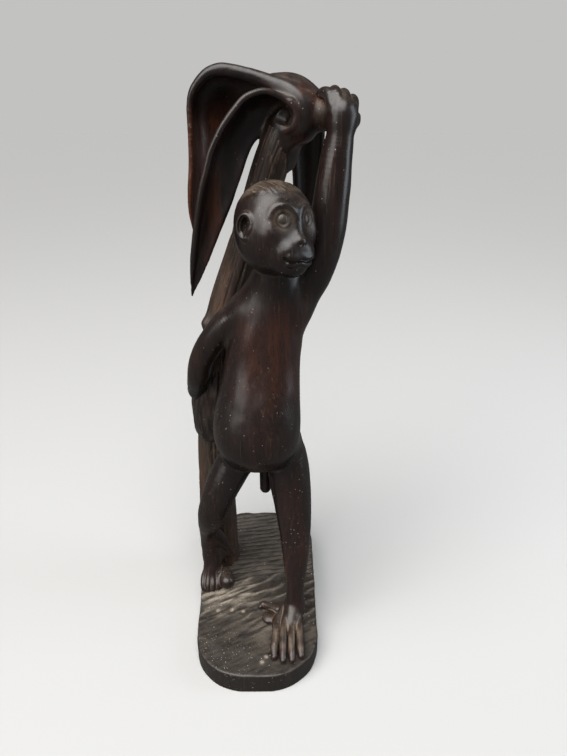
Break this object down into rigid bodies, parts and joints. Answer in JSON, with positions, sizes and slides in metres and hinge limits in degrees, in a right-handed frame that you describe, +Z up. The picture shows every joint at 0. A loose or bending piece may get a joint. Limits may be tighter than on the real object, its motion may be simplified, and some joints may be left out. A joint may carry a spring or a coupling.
{
  "type": "monkey figurine",
  "caption": "Carved dark hardwood monkey striding on a rounded base, one arm raised to a branch stub and one bent back to a leaning tree trunk with drooping leaves.",
  "frame": {"origin": "on the base's flat underside, midway along it and midway across its front end", "axes": "the monkey walks towards -Y, +X is on its own left, the side of the raised arm, and +Z is up"},
  "size_m": [0.1239, 0.188, 0.4198],
  "materials": {
    "base_wood": "waxed dark hardwood, dusty on top",
    "figure_wood": "polished dark hardwood, satin",
    "tree_wood": "dark hardwood with gouged bark, half matt",
    "leaf_wood": "polished dark hardwood with reddish heartwood, satin"
  },
  "bodies": {
    "root": {"base": "base_wood", "trunk": "tree_wood", "bark_sheath": "tree_wood", "crown": "tree_wood", "branch_stub": "tree_wood", "front_leaf": "leaf_wood", "rear_leaf": "leaf_wood", "back_leaf": "leaf_wood", "torso": "figure_wood", "head": "figure_wood", "right_eye": "figure_wood", "left_eye": "figure_wood", "right_ear": "figure_wood", "left_ear": "figure_wood", "right_arm": "figure_wood", "right_hand": "figure_wood", "left_arm": "figure_wood", "left_hand": "figure_wood", "right_leg": "figure_wood", "right_foot": "figure_wood", "left_leg": "figure_wood", "left_foot": "figure_wood", "tail": "figure_wood"}
  },
  "joints": []
}
